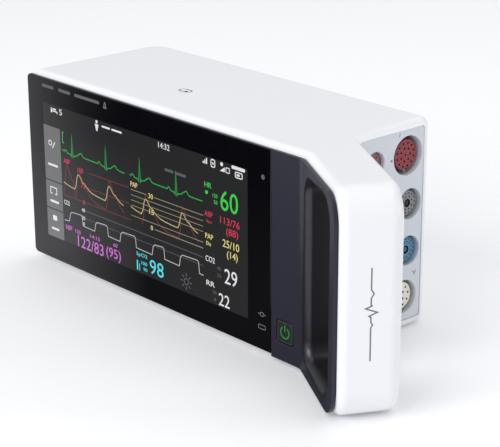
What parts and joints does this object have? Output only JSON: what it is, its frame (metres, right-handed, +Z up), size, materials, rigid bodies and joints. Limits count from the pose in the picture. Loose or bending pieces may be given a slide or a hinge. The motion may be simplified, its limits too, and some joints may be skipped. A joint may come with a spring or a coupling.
{
  "type": "portable patient monitor",
  "caption": "Compact white bedside patient monitor with a wide black touchscreen, a flared side handle and a column of round lead sockets behind it.",
  "frame": {"origin": "centre of the footprint's bounding box, on the surface that the rubber feet stand on", "axes": "+X to the right along the screen, towards the handle; +Y from the screen to the back; +Z up"},
  "size_m": [0.2528, 0.1108, 0.097],
  "materials": {
    "white_shell": "satin white moulded plastic",
    "socket_panel": "light blue-grey moulded plastic",
    "dark_frame": "dark blue-grey satin plastic",
    "cover_glass": "glossy black-backed touch glass",
    "screen": "flat panel display",
    "rubber": "black rubber",
    "sheet_aluminium": "bent and machined aluminium",
    "screw_steel": "plated steel",
    "circuit_board": "green solder mask",
    "moulded_black": "black moulded plastic",
    "battery_case": "dark grey plastic",
    "light_guide": "grey translucent light guide",
    "air_hose": "pale silicone",
    "pressure_insert_plastic": "dark red plastic",
    "auxiliary_insert_plastic": "mid grey plastic",
    "oximetry_insert_plastic": "blue plastic",
    "ecg_insert_plastic": "cream plastic",
    "temperature_insert_plastic": "brown-red plastic"
  },
  "bodies": {
    "device": {"air_hose": "air_hose", "air_port": "screw_steel", "alarm_light_guide": "light_guide", "auxiliary_insert": "auxiliary_insert_plastic", "auxiliary_socket": "moulded_black", "battery_contacts": "moulded_black", "battery_pack": "battery_case", "battery_tray": "moulded_black", "case_screw_1": "screw_steel", "case_screw_2": "screw_steel", "case_screw_3": "screw_steel", "case_screw_4": "screw_steel", "chassis": "sheet_aluminium", "connector_panel": "socket_panel", "display_cable": "moulded_black", "dock_connector_shell": "moulded_black", "dock_contact_block": "screw_steel", "door_hinge_pin": "screw_steel", "ecg_insert": "ecg_insert_plastic", "ecg_socket": "moulded_black", "fill_valve": "sheet_aluminium", "foot_1": "rubber", "foot_2": "rubber", "foot_3": "rubber", "foot_4": "rubber", "front_frame": "dark_frame", "glass_gasket": "rubber", "lcd_panel": "screen", "light_sensor": "light_guide", "main_board": "circuit_board", "measurement_board": "circuit_board", "mount_plate": "socket_panel", "mount_screw_1": "screw_steel", "mount_screw_2": "screw_steel", "mount_screw_3": "screw_steel", "mount_screw_4": "screw_steel", "oximetry_insert": "oximetry_insert_plastic", "oximetry_socket": "moulded_black", "power_board": "circuit_board", "power_switch": "moulded_black", "pressure_insert": "pressure_insert_plastic", "pressure_socket": "moulded_black", "processor_heatsink": "sheet_aluminium", "pump_head": "moulded_black", "pump_motor": "sheet_aluminium", "rear_housing": "white_shell", "release_valve": "sheet_aluminium", "speaker": "moulded_black", "status_light_guide": "light_guide", "temperature_insert": "temperature_insert_plastic", "temperature_socket": "moulded_black", "touch_glass": "cover_glass", "valve_block": "moulded_black", "wireless_module": "sheet_aluminium"},
    "power_button": {"power_button": "dark_frame"},
    "battery_door": {"battery_door": "white_shell"},
    "battery_latch": {"battery_latch": "dark_frame"},
    "pump_rotor": {"pump_rotor": "screw_steel"}
  },
  "joints": [
    {"name": "power_button_press", "type": "slide", "parent": "device", "child": "power_button", "axis": [0, 1, 0], "range_m": [0, 0.0008], "stiffness_N_per_m": 2500},
    {"name": "battery_door_hinge", "type": "hinge", "parent": "device", "child": "battery_door", "pos_m": [-0.12278, 0.03528, 0.024], "axis": [0, 0, -1], "range_deg": [0, 100]},
    {"name": "battery_latch_slide", "type": "slide", "parent": "battery_door", "child": "battery_latch", "axis": [0, -1, 0], "range_m": [0, 0.003]},
    {"name": "pump_rotor_spin", "type": "hinge", "parent": "device", "child": "pump_rotor", "pos_m": [-0.01338, 0.02287, 0.026], "axis": [1, 0, 0], "continuous": true}
  ]
}
